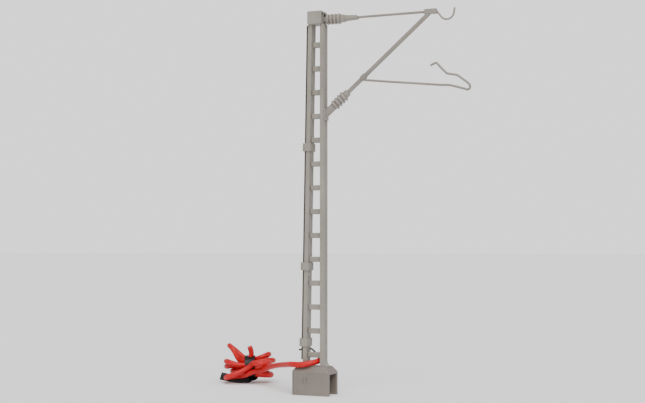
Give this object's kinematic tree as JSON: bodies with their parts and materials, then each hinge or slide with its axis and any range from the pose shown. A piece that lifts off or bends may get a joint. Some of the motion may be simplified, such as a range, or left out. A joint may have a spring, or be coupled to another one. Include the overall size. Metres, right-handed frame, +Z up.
{
  "type": "small-scale model railway catenary mast with feed lead",
  "caption": "Model lattice catenary mast with a hollow plug-on foot, insulated bracket arm, wire hook, steady arm and a short red feed lead tied in a hank.",
  "frame": {"origin": "centre of the foot's bottom face", "axes": "+Z up the mast, +X out along the bracket arm, -Y towards the side with the moulded marks"},
  "size_m": [0.0316, 0.011, 0.0406],
  "materials": {
    "mast_plastic": "moulded beige-grey plastic, satin, fine surface grain",
    "arm_plastic": "moulded warm-grey plastic, slightly darker, satin",
    "dark_wire": "thin blackened wire, dull",
    "solder": "tinned joint, dull bright grey",
    "lead_insulation": "soft red insulation, slightly glossy",
    "tie_plastic": "black twist tie, slightly glossy, creased"
  },
  "bodies": {
    "root": {"foot": "mast_plastic", "foot_floor": "mast_plastic", "upright_column": "mast_plastic", "leaning_column": "mast_plastic", "batten_01": "mast_plastic", "batten_02": "mast_plastic", "batten_03": "mast_plastic", "batten_04": "mast_plastic", "batten_05": "mast_plastic", "batten_06": "mast_plastic", "batten_07": "mast_plastic", "batten_08": "mast_plastic", "batten_09": "mast_plastic", "batten_10": "mast_plastic", "batten_11": "mast_plastic", "batten_12": "mast_plastic", "batten_13": "mast_plastic", "batten_14": "mast_plastic", "cap": "mast_plastic", "cap_peg": "mast_plastic", "clip_lower": "mast_plastic", "clip_middle": "mast_plastic", "clip_upper": "mast_plastic", "arm_bar": "arm_plastic", "top_insulator": "arm_plastic", "ferrule": "arm_plastic", "top_rod": "arm_plastic", "end_fitting": "arm_plastic", "wire_hook": "arm_plastic", "strut_foot_lug": "arm_plastic", "strut_insulator": "arm_plastic", "strut_tube": "arm_plastic", "steady_arm_saddle": "arm_plastic", "steady_arm": "arm_plastic", "feed_wire": "dark_wire", "wire_tail": "dark_wire", "solder_joint": "solder", "feed_lead": "lead_insulation", "feed_lead_hank": "lead_insulation", "hank_tie": "tie_plastic"}
  },
  "joints": []
}
